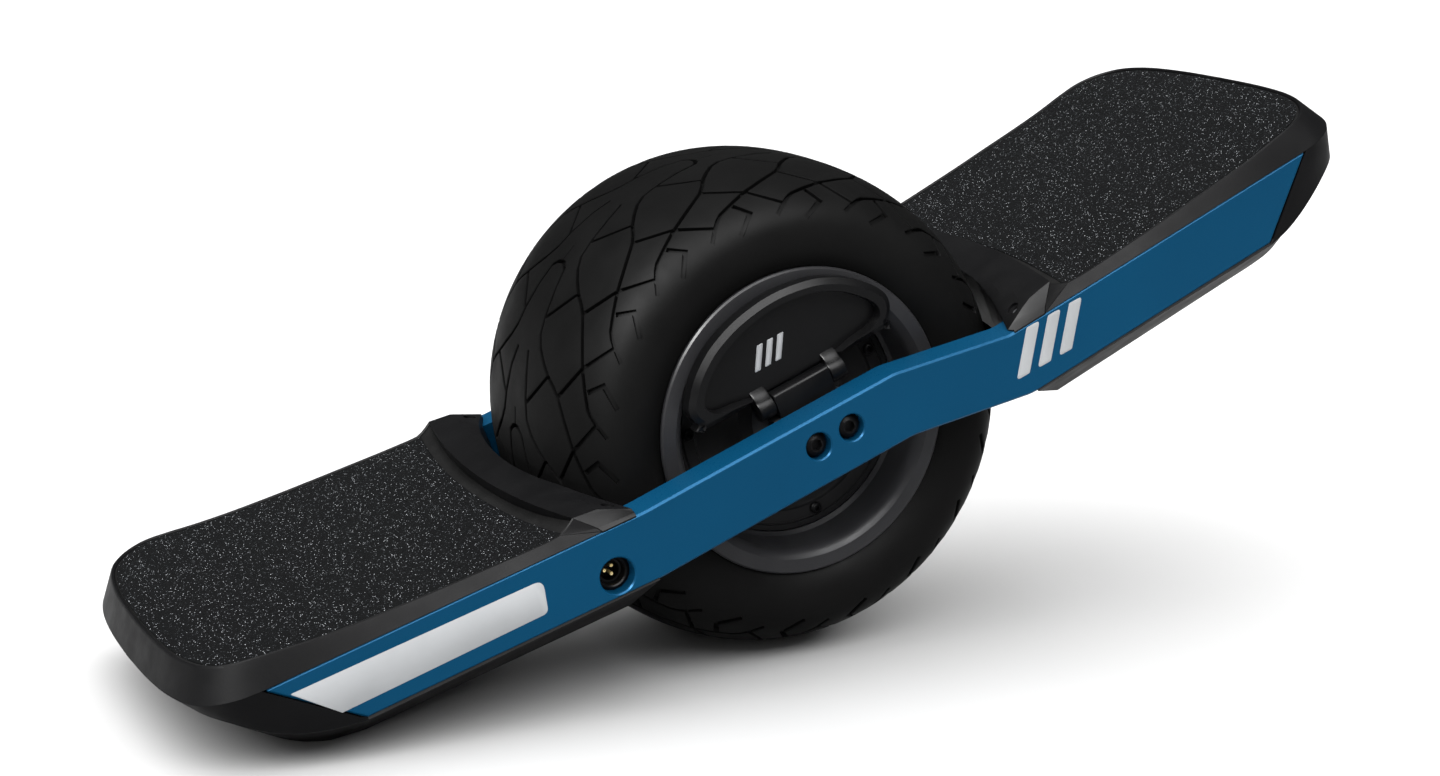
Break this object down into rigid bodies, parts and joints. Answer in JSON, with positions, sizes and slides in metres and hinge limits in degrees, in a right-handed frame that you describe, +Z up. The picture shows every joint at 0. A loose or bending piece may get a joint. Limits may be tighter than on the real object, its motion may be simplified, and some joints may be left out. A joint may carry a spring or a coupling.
{
  "type": "one-wheel self-balancing board",
  "caption": "Self-balancing ride-on board with one wide hub-motor tyre between angled side rails, grip-covered footpads and a fold-out carry handle.",
  "frame": {"origin": "On the floor under the middle of the whole board's bounding box.", "axes": "+X towards the raised tail, -Y towards the rail with the carry handle and charge inlet, +Z up. The wheel turns about Y. The board is pitched so its nose and tyre both stand on z = 0."},
  "size_m": [0.7402, 0.244, 0.3163],
  "materials": {
    "rail_blue": "satin deep blue coat",
    "decal": "satin silver film",
    "bumper_plastic": "fine matt black",
    "trim_plastic": "satin black",
    "grip": "coarse black grit",
    "sensor_film": "amber film",
    "screw_steel": "plain",
    "black_steel": "black oxide",
    "axle_steel": "machined",
    "stator_steel": "laminated",
    "box_aluminium": "cast, grey",
    "rim_aluminium": "dark grey satin",
    "cover_aluminium": "dark grey satin",
    "circuit": "solder mask",
    "cell_can": "shrink sleeve",
    "cable_rubber": "matt",
    "port_plastic": "black",
    "contact_brass": "gold plated",
    "button_metal": "satin",
    "copper": "enamelled copper",
    "valve_brass": "dull",
    "tyre_rubber": "satin black",
    "handle_plastic": "satin black"
  },
  "bodies": {
    "board": {"rail_left": "rail_blue", "rail_right": "rail_blue", "rail_stripe": "decal", "rail_emblem": "decal", "front_bumper": "bumper_plastic", "rear_bumper": "bumper_plastic", "bumper_screws": "screw_steel", "front_footpad": "bumper_plastic", "rear_footpad": "bumper_plastic", "front_grip": "grip", "rear_grip": "grip", "foot_sensor": "sensor_film", "front_trim": "trim_plastic", "rear_trim": "trim_plastic", "trim_screws": "screw_steel", "controller_box": "box_aluminium", "controller_lid": "box_aluminium", "controller_board": "circuit", "battery_box": "box_aluminium", "battery_lid": "box_aluminium", "battery_cells": "cell_can", "motor_cable": "cable_rubber", "charge_port": "port_plastic", "charge_pins": "contact_brass", "button_housing": "port_plastic", "axle": "axle_steel", "axle_bolts": "black_steel", "stator": "stator_steel", "windings": "copper", "bearings": "axle_steel", "handle_pin": "axle_steel", "handle_bracket": "handle_plastic"},
    "wheel": {"tyre": "tyre_rubber", "rim": "rim_aluminium", "rotor_magnets": "stator_steel", "motor_cover_left": "cover_aluminium", "motor_cover_right": "cover_aluminium", "cover_screws": "black_steel", "valve_stem": "valve_brass"},
    "carry_handle": {"handle": "handle_plastic", "handle_badge": "decal"},
    "button": {"power_button": "button_metal"}
  },
  "joints": [
    {"name": "wheel_spin", "type": "hinge", "parent": "board", "child": "wheel", "pos_m": [0.00839, 0, 0.146], "axis": [0, 1, 0], "continuous": true},
    {"name": "handle_fold", "type": "hinge", "parent": "board", "child": "carry_handle", "pos_m": [0.00029, -0.092, 0.16861], "axis": [0.9265, 0, 0.3763], "range_deg": [0, 90]},
    {"name": "power_press", "type": "slide", "parent": "board", "child": "button", "axis": [0, -1, 0], "range_m": [0, 0.0015], "stiffness_N_per_m": 300, "springref_m": -0.001}
  ]
}
